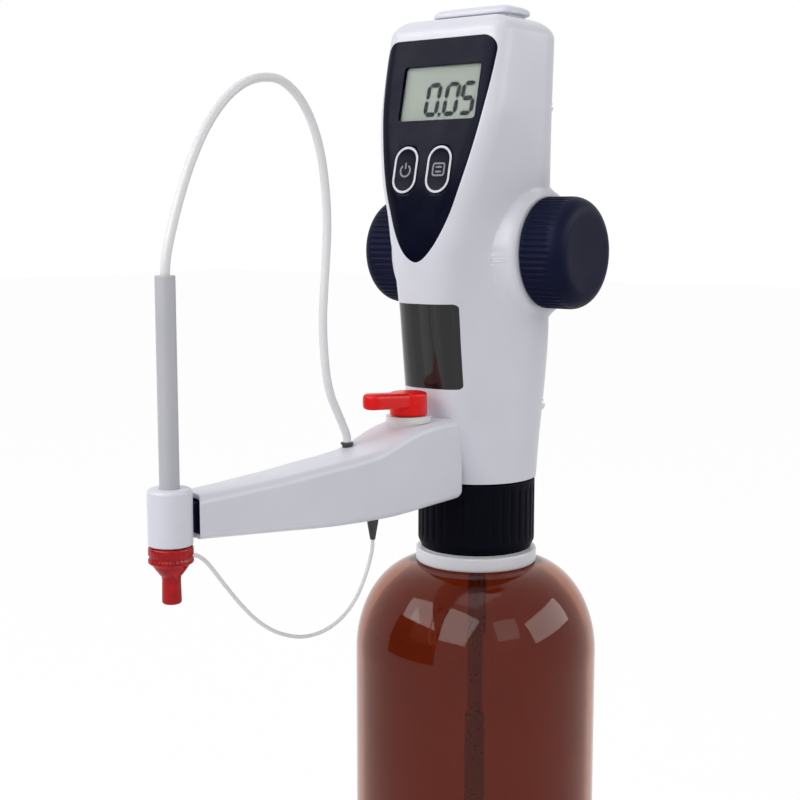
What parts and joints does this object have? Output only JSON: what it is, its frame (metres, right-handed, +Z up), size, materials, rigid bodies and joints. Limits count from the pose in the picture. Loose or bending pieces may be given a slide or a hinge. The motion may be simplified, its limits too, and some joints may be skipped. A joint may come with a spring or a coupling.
{
  "type": "digital burette",
  "caption": "Bottle-top digital burette: slim head with display and two ribbed handwheels on an amber bottle, long delivery arm, looped discharge tube and capped nozzle.",
  "frame": {"origin": "centre of the bottle's base, on the surface it stands on", "axes": "+Z up along the bottle's axis, -Y towards the front panel and the delivery arm, +X to the viewer's right of the front panel, along the handwheels' shaft"},
  "size_m": [0.101, 0.2318, 0.4239],
  "materials": {
    "amber_glass": "smooth amber borosilicate glass",
    "clear_glass": "clear glass",
    "adapter_plastic": "white moulded plastic",
    "housing_plastic": "pale grey satin moulding",
    "panel_plastic": "glossy dark blue panel",
    "dark_plastic": "dark blue satin moulding",
    "smoked_plastic": "smoked transparent moulding",
    "white_polymer": "white fluoropolymer",
    "clear_polymer": "translucent fluoropolymer",
    "sleeve_plastic": "grey moulded plastic",
    "red_plastic": "glossy red moulding",
    "rubber": "dark elastomer",
    "steel": "turned stainless steel",
    "brass": "machined brass",
    "display": "reflective liquid crystal display",
    "board": "green laminate",
    "cell_metal": "sleeved battery cells"
  },
  "bodies": {
    "bottle": {"bottle": "amber_glass", "thread_adapter": "adapter_plastic", "bottle_collar": "dark_plastic", "bottle_gasket": "rubber"},
    "head": {"valve_block": "white_polymer", "intake_ball": "white_polymer", "discharge_ball": "white_polymer", "intake_tube_upper": "clear_polymer", "return_tube": "clear_polymer", "housing_front": "housing_plastic", "housing_rear": "housing_plastic", "housing_screws": "steel", "front_panel": "panel_plastic", "display_window": "clear_glass", "lcd_module": "display", "circuit_board": "board", "inspection_window": "smoked_plastic", "glass_cylinder": "clear_glass", "cylinder_cap": "white_polymer", "shaft_bushes": "brass", "encoder_sensor": "dark_plastic", "battery_tray": "dark_plastic", "battery_cells": "cell_metal", "battery_contacts": "steel", "arm_shell": "housing_plastic", "supply_tube": "clear_polymer", "stopcock_body": "white_polymer", "tube_fitting": "rubber", "nozzle_holder": "housing_plastic", "nozzle_tip": "white_polymer", "discharge_tube": "clear_polymer", "strap": "clear_polymer", "strap_anchor": "rubber"},
    "intake_tube": {"intake_tube_lower": "clear_polymer"},
    "key_power": {"key_power": "panel_plastic"},
    "key_clear": {"key_clear": "panel_plastic"},
    "piston": {"piston": "white_polymer", "piston_seal": "rubber", "rack_rod": "steel"},
    "handwheels": {"pinion": "brass", "drive_shaft": "steel", "encoder_disc": "dark_plastic", "handwheel_left": "dark_plastic", "handwheel_right": "dark_plastic"},
    "battery_lid": {"battery_lid": "housing_plastic"},
    "valve_key": {"valve_key": "red_plastic"},
    "guide_sleeve": {"guide_sleeve": "sleeve_plastic"},
    "screw_cap": {"screw_cap": "red_plastic"}
  },
  "joints": [
    {"name": "head_swivel", "type": "hinge", "parent": "bottle", "child": "head", "pos_m": [0, 0, 0.2285], "axis": [0, 0, 1], "continuous": true},
    {"name": "handwheel_turn", "type": "hinge", "parent": "head", "child": "handwheels", "pos_m": [0, 0.005, 0.3263], "axis": [-1, 0, 0], "range_deg": [0, 381.97]},
    {"name": "piston_slide", "type": "slide", "parent": "head", "child": "piston", "axis": [0, 0, 1], "range_m": [0, 0.04]},
    {"name": "valve_key_turn", "type": "hinge", "parent": "head", "child": "valve_key", "pos_m": [0, -0.0474, 0.26], "axis": [0, 0, 1], "range_deg": [0, 90]},
    {"name": "key_power_press", "type": "slide", "parent": "head", "child": "key_power", "axis": [0, 0.9806, -0.1961], "range_m": [0, 0.001], "stiffness_N_per_m": 400, "springref_m": -0.0005},
    {"name": "key_clear_press", "type": "slide", "parent": "head", "child": "key_clear", "axis": [0, 0.9806, -0.1961], "range_m": [0, 0.001], "stiffness_N_per_m": 400, "springref_m": -0.0005},
    {"name": "sleeve_slide", "type": "slide", "parent": "head", "child": "guide_sleeve", "axis": [0, 0, 1], "range_m": [0, 0.02], "deforming": ["discharge_tube"]},
    {"name": "cap_off", "type": "slide", "parent": "head", "child": "screw_cap", "axis": [0, 0, -1], "range_m": [0, 0.03], "deforming": ["strap"]},
    {"name": "intake_slide", "type": "slide", "parent": "head", "child": "intake_tube", "axis": [0, 0, 1], "range_m": [0, 0.05]},
    {"name": "battery_lid_lift", "type": "slide", "parent": "head", "child": "battery_lid", "axis": [0, 0, 1], "range_m": [0, 0.025]}
  ],
  "couplings": [
    {"joint": "piston_slide", "follows": "handwheel_turn", "m_per_rad": 0.006}
  ]
}
